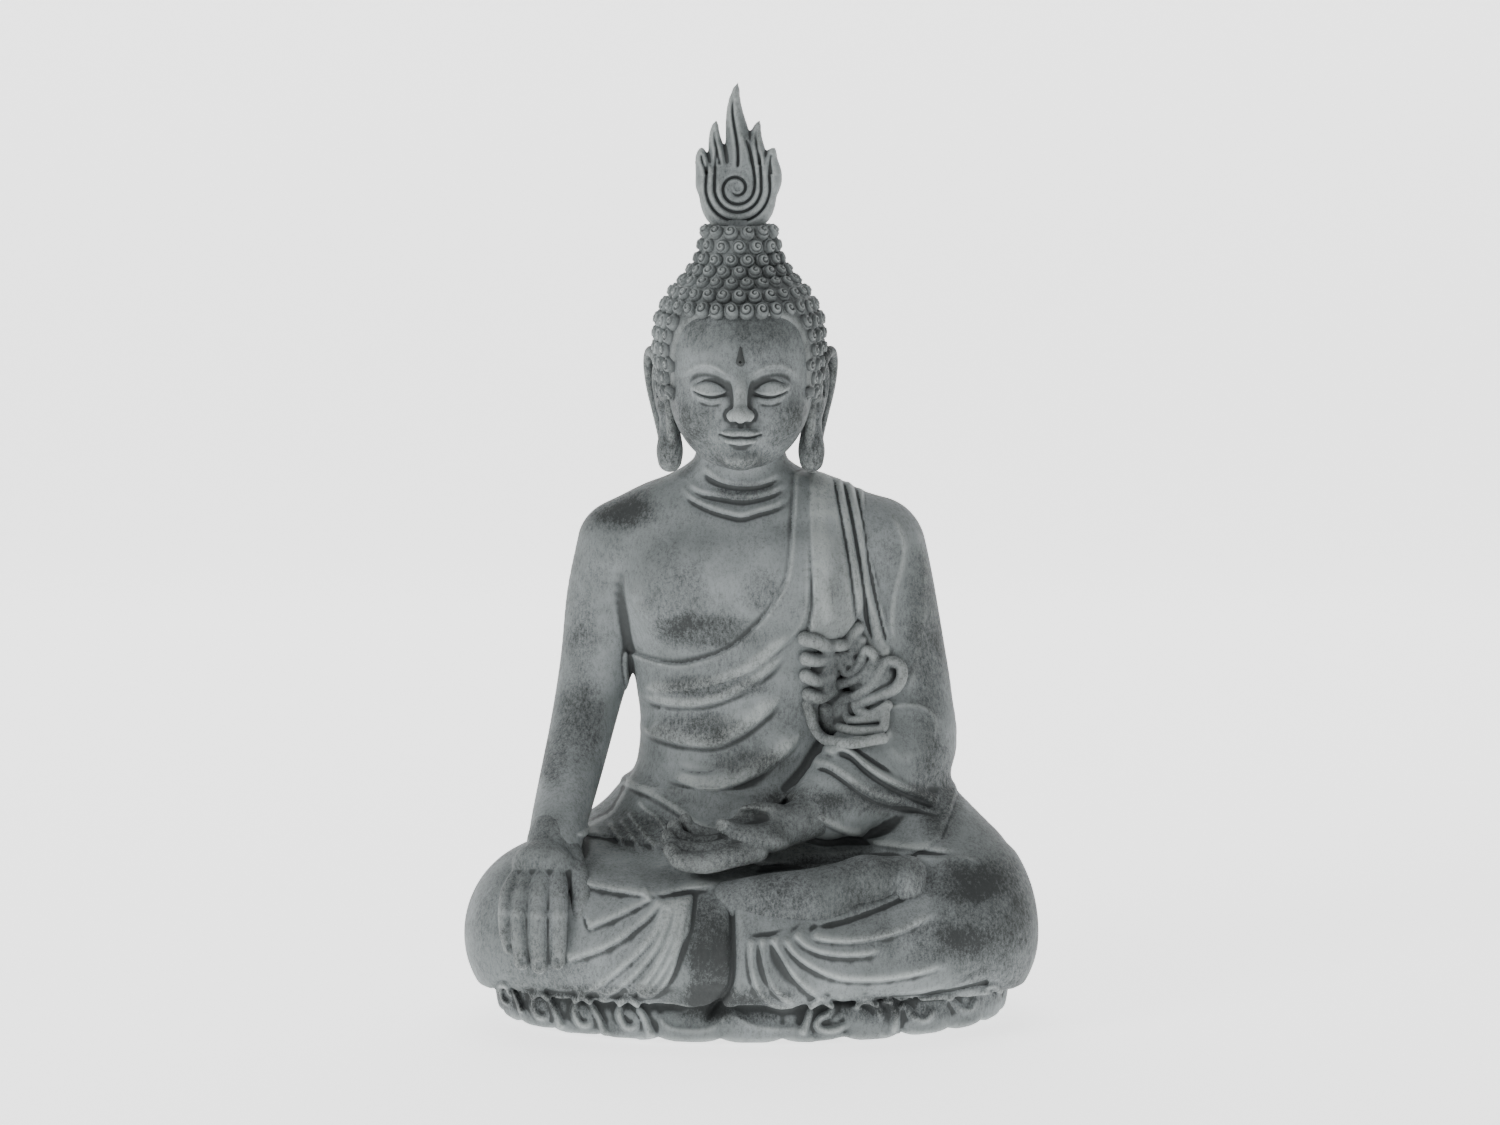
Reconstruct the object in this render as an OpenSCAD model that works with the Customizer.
// Seated Buddha garden statue: hollow cast sections, a lift-off flame finial,
// a screwed closing plate and rubber feet.
// Frame: +Z up, the figure faces -Y, its left hand side is +X.
// The origin is on the ground under the middle of the statue.

/* [Statue] */
// Height from the ground to the tip of the flame
total_h = 700; // [500:10:900]
// Wall of the hollow castings, at the nominal height
wall = 9; // [6:1:12]
// Thickness of the robe relief that stands proud of the body
robe_relief = 5; // [3:1:8]

/* [Base] */
// Gap between the ground and the rim of the hem, which the rubber feet make
foot_gap = 1.5; // [1:0.5:3]
// Thickness of the closing plate
plate_t = 8; // [5:1:12]
// Scallops round the hem
scallops = 26; // [16:1:36]

/* [Hair] */
// Radius of one curl
curl_r = 5; // [4:0.25:5]
// Spacing of the curls along a row
curl_pitch = 12; // [12:0.5:16]
// Spacing of the rows of curls
row_pitch = 10.6; // [10.6:0.2:13]

/* [Finial] */
// Thickness of the flame
flame_t = 15; // [10:1:20]
// Width of the flame across its bowl
flame_w = 58; // [50:1:60]
// Height of each tongue as a share of the next one in
tongue_step = 0.73; // [0.66:0.01:0.8]
// Depth of the square tenon that locates the flame
tenon_depth = 26; // [15:1:30]
// Side of the square tenon
tenon_side = 14; // [10:1:16]

/* [Hidden] */
NOMINAL_H = 700;
k = total_h / NOMINAL_H;
STONE = [0.55, 0.57, 0.57];
DARK_STONE = [0.40, 0.42, 0.42];
STEEL = [0.70, 0.70, 0.72];
RUBBER = [0.12, 0.12, 0.12];
BOARD = [0.45, 0.42, 0.38];
eps = 0.02;
far = 1000;
fit = 0.05;
finial_rod_r = 2.5;
flame_x = -10;
flame_y = 12;

// Heights that sections share
hem_top = 32;
neck_top = 437;
ushnisha_top = 594;
box_w = 420;
box_d = 262;

// Sections of a stack are [z, x, y, half width, half depth]
torso_rings = [
    [92, -3, 34, 120, 74], [131, -3, 33, 110, 68], [157, -4, 32, 94, 60],
    [185, -4, 30, 79, 53], [222, -5, 29, 77, 51], [257, -6, 27, 83, 55],
    [292, -7, 26, 92, 59], [328, -7, 26, 101, 60], [355, -7, 28, 107, 56],
    [375, -7, 30, 110, 48], [387, -7, 30, 100, 42], [397, -7, 29, 82, 38],
    [405, -7, 27, 60, 35], [414, -8, 24, 40, 34], [422, -8, 21, 34, 33],
    [neck_top, -8, 18, 32, 32]
];
mound_rings = [
    [20, 0, 1, 186, 118], [50, 0, 2, 200, 129], [82, 0, 4, 188, 125],
    [108, 0, 14, 164, 110], [130, -3, 26, 130, 88], [146, -3, 32, 104, 68]
];
head_rings = [
    [418, -8, -24, 17, 16], [423, -8, -18, 28, 28], [434, -8, -8, 40, 46],
    [449, -8, 0, 49, 59], [467, -8, 4, 54, 66], [489, -8, 6, 57, 69],
    [508, -8, 7, 58, 69], [526, -8, 9, 56, 65], [542, -8, 11, 50, 56],
    [554, -9, 12, 40, 44], [562, -9, 12, 26, 30]
];
ushnisha_rings = [
    [546, -9, 12, 46, 52], [558, -10, 12, 37, 41], [568, -10, 12, 30, 32],
    [583, -10, 12, 26.5, 27], [ushnisha_top - 0.1, -10, 12, 21, 21]
];

// Beads of a limb are [x, y, z, radius]
knee = [144, -34, 67, 66];
thigh = [[66, 62, 84, 60], [112, 10, 78, 66], knee];
shin = [knee, [96, -68, 66, 56], [40, -86, 70, 45], [-20, -88, 70, 44]];
right_arm_beads = [
    [-97, 30, 351, 35], [-109, 31, 312, 30.5], [-116, 29, 272, 28], [-122, 24, 245, 25.5],
    [-129, 12, 212, 24], [-137, -14, 179, 23], [-143, -44, 155, 22.5]
];
left_arm_beads = [
    [92, 30, 349, 37], [100, 30, 312, 37], [105, 28, 272, 38], [108, 22, 233, 41],
    [106, 8, 198, 44], [82, -18, 178, 34], [48, -40, 163, 23]
];
right_palm = [[-146, -66, 144, 19], [-149, -84, 128, 21]];
right_fingers = [
    [[-166, -92, 121, 9], [-169, -106, 93, 8.5], [-166, -110, 71, 7]],
    [[-155, -99, 121, 9], [-157, -112, 91, 9], [-155, -115, 63, 7.5]],
    [[-143, -100, 121, 9], [-144, -114, 91, 9], [-144, -117, 59, 7.5]],
    [[-131, -96, 121, 9], [-132, -112, 93, 8.5], [-134, -116, 65, 7.5]],
    [[-124, -80, 126, 10], [-119, -94, 106, 8.5], [-120, -101, 85, 7.5]]
];
left_palm = [[40, -48, 160, 17], [14, -60, 148, 17], [-10, -68, 140, 15]];
left_fingers = [
    [[-12, -82, 140, 8], [-38, -92, 134, 7.5], [-58, -94, 134, 6]],
    [[-14, -74, 141, 8], [-42, -82, 136, 7.5], [-64, -84, 136, 6]],
    [[-14, -64, 141, 8], [-40, -70, 137, 7.5], [-62, -72, 137, 6]],
    [[-10, -55, 141, 7.5], [-34, -59, 138, 7], [-54, -60, 138, 6]],
    [[20, -76, 150, 8], [-4, -88, 151, 7.5], [-22, -92, 147, 6.5]]
];
foot_beads = [
    [-4, -108, 103, 24], [40, -104, 107, 22], [84, -94, 114, 20], [112, -88, 119, 17]
];
ear_beads = [
    [59, 8, 497, 7], [64, 15, 489, 8], [63, 14, 467, 6], [58, 10, 442, 6.5], [54, 8, 423, 9.5]
];
arm_rod_path = [[-96, 30, 330], [-121, 30, 312], [-122, 25, 250], [-129, 12, 212], [-141, -36, 160]];

// Outline of the sash panel and of the bunched folds below it, seen from the front
sash_outline = [
    [30, 412], [96, 412], [101, 350], [107, 291], [104, 253], [60, 253], [40, 287],
    [42, 342], [34, 384]
];
folds_outline = [
    [38, 302], [58, 308], [84, 304], [104, 287], [113, 263], [108, 237], [98, 219],
    [72, 213], [50, 223], [40, 253]
];

function mirrored(beads) = [for (b = beads) [-b[0], b[1], b[2], b[3]]];
// The ear beads are placed from the middle of the head, which is left of the origin
function about_head(beads, side) =
    [for (b = beads) [-8 + side * b[0], b[1], b[2], b[3]]];

module bead(b) {
    translate([b[0], b[1], b[2]]) sphere(r = b[3]);
}

module limb(beads) {
    for (i = [0 : len(beads) - 2]) hull() {
        bead(beads[i]);
        bead(beads[i + 1]);
    }
}

module slab(ring, grow) {
    translate([ring[1], ring[2], ring[0]])
        linear_extrude(eps) scale([ring[3] + grow, ring[4] + grow]) circle(r = 1);
}

module stack(rings, grow = 0) {
    for (i = [0 : len(rings) - 2]) hull() {
        slab(rings[i], grow);
        slab(rings[i + 1], grow);
    }
}

module above(z) {
    translate([-far / 2, -far / 2, z]) cube(far);
}

// The upright column that the whole statue stays within
module column() {
    translate([-box_w / 2, -box_d / 2, 0]) cube([box_w, box_d, far]);
}

// A panel cut out of the front of the robe by its outline
module front_region(outline) {
    rotate([90, 0, 0]) linear_extrude(200) polygon(outline);
}

module torso_outer() {
    stack(torso_rings, $fn = 40);
}

module legs_outer() {
    intersection() {
        union() {
            stack(mound_rings, $fn = 48);
            limb(thigh, $fn = 28);
            limb(mirrored(thigh), $fn = 28);
            limb(shin, $fn = 28);
            limb(mirrored(shin), $fn = 28);
        }
        above(hem_top);
        column();
    }
}

module inset_limb(beads) {
    limb([for (b = beads) [b[0], b[1], b[2], b[3] - wall]]);
}

module head_outer() {
    stack(head_rings, $fn = 36);
}

// The crown, and the sides and nape behind the temples
module hair_region() {
    above(524);
    translate([-far / 2, -33, 474]) rotate([-10, 0, 0]) cube(far);
}

// ---- Base ----

function scallop_point(a, rx, ry, depth) =
    let (wave = depth * (abs(sin(a * scallops / 2)) - 0.6))
    [(rx + wave) * cos(a), (ry + wave) * sin(a)];

module hem_outline(rx, ry, depth) {
    polygon([for (a = [0 : 360 / (scallops * 6) : 359.9]) scallop_point(a, rx, ry, depth)]);
}

hem_rx = 190;
hem_ry = 114;
hem_inner_rx = 158;
hem_inner_ry = 92;
boss_r = 7;
pilot_r = 2;
boss_angles = [0, 55, 125, 180, 235, 305];
plate_z = foot_gap + 2;

module at_bosses() {
    for (a = boss_angles)
        translate([(hem_inner_rx - 5) * cos(a), (hem_inner_ry - 5) * sin(a), 0]) children();
}

module base_hem() {
    color(STONE) difference() {
        union() {
            difference() {
                translate([0, 0, foot_gap]) linear_extrude(hem_top - foot_gap, scale = 1.05)
                    hem_outline(hem_rx, hem_ry, 5);
                translate([0, 0, -1]) linear_extrude(hem_top + 2)
                    polygon([for (a = [0 : 5 : 355]) [hem_inner_rx * cos(a), hem_inner_ry * sin(a)]]);
            }
            at_bosses() translate([0, 0, plate_z + plate_t])
                cylinder(h = hem_top - plate_z - plate_t, r = boss_r, $fn = 32);
        }
        at_bosses() cylinder(h = 30, r = pilot_r, $fn = 24);
    }
}

module closing_plate() {
    color(BOARD) difference() {
        translate([0, 0, plate_z]) linear_extrude(plate_t)
            polygon([for (a = [0 : 5 : 355])
                [(hem_inner_rx - 0.5) * cos(a), (hem_inner_ry - 0.5) * sin(a)]]);
        at_bosses() {
            cylinder(h = 40, r = 2.3, $fn = 24);
            translate([0, 0, plate_z - eps]) cylinder(h = 2.4, r1 = 4.7, r2 = 2.3, $fn = 24);
        }
        for (x = [-40, 40]) translate([x, 0, -1]) cylinder(h = 40, r = 4, $fn = 24);
    }
}

module plate_screws() {
    color(STEEL) at_bosses() {
        translate([0, 0, plate_z + 0.1]) cylinder(h = 2.3, r1 = 4.5, r2 = 2, $fn = 24);
        translate([0, 0, plate_z + 1]) cylinder(h = 24, r = 2, $fn = 24);
    }
}

module rubber_feet() {
    color(RUBBER) for (x = [-100, 100], y = [-48, 48])
        translate([x, y, 0]) cylinder(h = plate_z, r = 14, $fn = 40);
}

// ---- Legs and feet ----

// The hollow closes in above the hem so that it opens only onto the plate
module legs_cavity() {
    intersection() {
        union() {
            stack(mound_rings, -wall, $fn = 40);
            inset_limb(thigh, $fn = 20);
            inset_limb(mirrored(thigh), $fn = 20);
        }
        above(hem_top + wall);
    }
    translate([0, 0, hem_top - 1]) linear_extrude(wall + 2)
        scale([hem_inner_rx - wall, hem_inner_ry - wall]) circle(r = 1, $fn = 48);
}

module crossed_legs() {
    color(STONE) difference() {
        legs_outer();
        torso_outer();
        legs_cavity();
        foot_solid();
    }
}

module foot_solid() {
    limb(foot_beads, $fn = 20);
}

module right_foot() {
    color(STONE) intersection() {
        foot_solid();
        column();
    }
}

// ---- Torso and robe ----

module torso() {
    color(STONE) difference() {
        torso_outer();
        stack([for (r = torso_rings) [r[0] - 1, r[1], r[2], r[3], r[4]]], -wall, $fn = 32);
        translate([-8, 18, neck_top - 8]) cylinder(h = 20, r = 23, $fn = 32);
        translate([-3, 34, 80]) cylinder(h = 20, r = 60, $fn = 32);
    }
}

module shoulder_sash() {
    color(STONE) difference() {
        intersection() {
            stack(torso_rings, robe_relief, $fn = 40);
            front_region(sash_outline);
        }
        torso_outer();
        folds_solid();
        left_arm_solid();
    }
}

module folds_solid() {
    intersection() {
        stack(torso_rings, 2.6 * robe_relief, $fn = 40);
        front_region(folds_outline);
    }
}

module sash_folds() {
    color(DARK_STONE) difference() {
        folds_solid();
        torso_outer();
        left_arm_solid();
    }
}

// ---- Arms and hands ----

module left_arm_solid() {
    limb(left_arm_beads, $fn = 24);
}

module left_sleeve() {
    color(STONE) difference() {
        left_arm_solid();
        torso_outer();
        legs_outer();
        inset_limb([for (i = [1 : 5]) left_arm_beads[i]], $fn = 16);
    }
}

module left_hand_solid() {
    limb(left_palm, $fn = 16);
    for (f = left_fingers) limb(f, $fn = 10);
}

module left_hand() {
    color(STONE) difference() {
        left_hand_solid();
        left_arm_solid();
        legs_outer();
        torso_outer();
        foot_solid();
    }
}

module right_arm_solid() {
    limb(right_arm_beads, $fn = 24);
}

module right_arm() {
    color(STONE) difference() {
        right_arm_solid();
        torso_outer();
        legs_outer();
        arm_rod_solid();
    }
}

module right_hand() {
    color(STONE) difference() {
        intersection() {
            union() {
                limb(right_palm, $fn = 20);
                for (f = right_fingers) limb(f, $fn = 10);
                for (f = right_fingers) hull() {
                    bead(right_palm[1], $fn = 16);
                    bead(f[0], $fn = 10);
                }
            }
            column();
        }
        right_arm_solid();
        legs_outer();
    }
}

module arm_rod_solid() {
    for (i = [0 : len(arm_rod_path) - 2]) hull() {
        translate(arm_rod_path[i]) sphere(r = 3, $fn = 12);
        translate(arm_rod_path[i + 1]) sphere(r = 3, $fn = 12);
    }
}

// The reinforcing rod stops where the arm meets the torso
module arm_rod() {
    color(STEEL) difference() {
        arm_rod_solid();
        torso_outer();
    }
}

// ---- Head ----

module head() {
    color(STONE) difference() {
        head_outer();
        torso_outer();
        translate([0, 0, 4]) stack([for (i = [3 : 9]) head_rings[i]], -wall, $fn = 28);
        translate([-8, 18, neck_top - 1]) cylinder(h = 24, r = 22, $fn = 32);
        urna_solid();
    }
}

module ear(side) {
    difference() {
        limb(about_head(ear_beads, side), $fn = 14);
        head_outer();
        cap_solid();
        torso_outer();
        left_arm_solid();
        stack(torso_rings, robe_relief, $fn = 40);
    }
}

module right_ear() {
    color(STONE) ear(-1);
}

module left_ear() {
    color(STONE) ear(1);
}

module urna_solid() {
    translate([-8, -62, 503]) sphere(r = 3.5, $fn = 32);
}

module urna() {
    color(DARK_STONE) urna_solid();
}

module cap_solid() {
    intersection() {
        stack(head_rings, 3.5, $fn = 36);
        hair_region();
    }
}

module ushnisha_solid() {
    stack(ushnisha_rings, $fn = 32);
}

module socket_block(grow) {
    side = tenon_side / 2 + grow;
    translate([flame_x - side, flame_y - side, ushnisha_top - tenon_depth - 3])
        cube([tenon_side + 2 * grow, tenon_side + 2 * grow, tenon_depth + 3 - fit]);
}

module hair_cap() {
    color(STONE) difference() {
        cap_solid();
        head_outer();
        ushnisha_solid();
        torso_outer();
    }
}

module ushnisha() {
    color(STONE) difference() {
        ushnisha_solid();
        head_outer();
        socket_block(2);
    }
}

module finial_socket() {
    color(STEEL) difference() {
        socket_block(2);
        translate([0, 0, 3]) socket_block(fit);
    }
}

// The scalp's half width and half depth at each height
scalp_width = [
    [448, 54], [478, 59], [508, 61.5], [526, 59.5], [542, 52], [556, 39], [567, 31], [590, 25]
];
scalp_depth = [
    [448, 64], [478, 71], [508, 73], [526, 69], [542, 60], [556, 43], [567, 33], [590, 25]
];
scalp_y = [[526, 8], [567, 12]];
function slope_at(z, profile) = abs(lookup(z + 4, profile) - lookup(z - 4, profile)) / 8;
function row_step(z) =
    let (slope = min(slope_at(z, scalp_width), slope_at(z, scalp_depth)))
    row_pitch / sqrt(1 + slope * slope);
// Rows lie a row pitch apart along the scalp's profile
row_heights = [for (z = 462; z < 590; z = z + row_step(z)) z];

function ellipse_length(a, b) = PI * (3 * (a + b) - sqrt((3 * a + b) * (a + 3 * b)));

// Height of the hairline at an angle round the head: forehead, temples, then the nape
function hairline(a) = -sin(a) > 0.6 ? 531 : 470 + 12 * min(0, -sin(a));

module hair_curls() {
    color(DARK_STONE) for (i = [0 : len(row_heights) - 1]) {
        z = row_heights[i];
        rx = lookup(z, scalp_width);
        ry = lookup(z, scalp_depth);
        count = floor(ellipse_length(rx, ry) / curl_pitch);
        for (j = [0 : count - 1]) {
            a = (j + (i % 2) / 2) * 360 / count - 90;
            if (z > hairline(a))
                translate([-9 + rx * cos(a), lookup(z, scalp_y) + ry * sin(a), z])
                    sphere(r = curl_r, $fn = 24);
        }
    }
}

// ---- Flame finial ----

// The flame is a rounded bowl with five tongues, the same on both sides of its middle but for
// the S-bend that each tongue has
flame_h = NOMINAL_H - ushnisha_top;
bowl_z = ushnisha_top + 0.27 * flame_h;
bowl_fall = 0.32 * flame_h;
bowl_rise = 0.18 * flame_h;
bowl_power = 2.6;
tongue_gap = flame_w / 5;
tongue_sway = 3;
tongue_lean = 1.5;

function squared(v) = sign(v) * pow(abs(v), 2 / bowl_power);
function bowl_point(a) = [
    flame_w / 2 * squared(cos(a)),
    bowl_z + (sin(a) < 0 ? bowl_fall : bowl_rise) * squared(sin(a))
];
function tongue_root(i) = sign(i) * tongue_gap * (0.45 + 0.8 * abs(i));
function tongue_top(i) = ushnisha_top + flame_h * pow(tongue_step, abs(i));
function tongue_half(i) = tongue_gap * (i == 0 ? 1 : 0.45);
function tongue_point(i, t, side) = [
    tongue_root(i) + tongue_lean * i * t * t + tongue_sway * (1 - abs(i) / 3) * t * sin(360 * t)
        + side * tongue_half(i) * (1 - pow(t, 1.7)),
    bowl_z + (tongue_top(i) - bowl_z) * t
];

module tongue(i) {
    polygon(concat(
        [for (t = [0 : 0.1 : 0.95]) tongue_point(i, t, -1)],
        [tongue_point(i, 1, 0)],
        [for (t = [0.9 : -0.1 : -0.05]) tongue_point(i, t, 1)]
    ));
}

module flame_shape() {
    intersection() {
        union() {
            polygon([for (a = [0 : 10 : 350]) bowl_point(a)]);
            for (i = [-2 : 2]) tongue(i);
        }
        translate([-flame_w, ushnisha_top]) square([2 * flame_w, flame_h]);
    }
}

module flame_finial() {
    color(STONE) difference() {
        union() {
            translate([flame_x, flame_y + flame_t / 2, 0]) rotate([90, 0, 0])
                linear_extrude(flame_t) flame_shape();
            translate([flame_x - tenon_side / 2, flame_y - tenon_side / 2, ushnisha_top - tenon_depth])
                cube([tenon_side, tenon_side, tenon_depth + 4]);
        }
        finial_bore();
    }
}

module finial_bore() {
    translate([flame_x, flame_y, ushnisha_top - tenon_depth - 1])
        cylinder(h = tenon_depth + 40, r = finial_rod_r, $fn = 24);
}

module finial_rod() {
    color(STEEL) translate([flame_x, flame_y, ushnisha_top - tenon_depth])
        cylinder(h = tenon_depth + 39, r = finial_rod_r, $fn = 24);
}

scale(k) base_hem();
scale(k) closing_plate();
scale(k) plate_screws();
scale(k) rubber_feet();
scale(k) crossed_legs();
scale(k) right_foot();
scale(k) torso();
scale(k) shoulder_sash();
scale(k) sash_folds();
scale(k) left_sleeve();
scale(k) left_hand();
scale(k) right_arm();
scale(k) right_hand();
scale(k) arm_rod();
scale(k) head();
scale(k) right_ear();
scale(k) left_ear();
scale(k) urna();
scale(k) hair_cap();
scale(k) ushnisha();
scale(k) hair_curls();
scale(k) finial_socket();
scale(k) flame_finial();
scale(k) finial_rod();
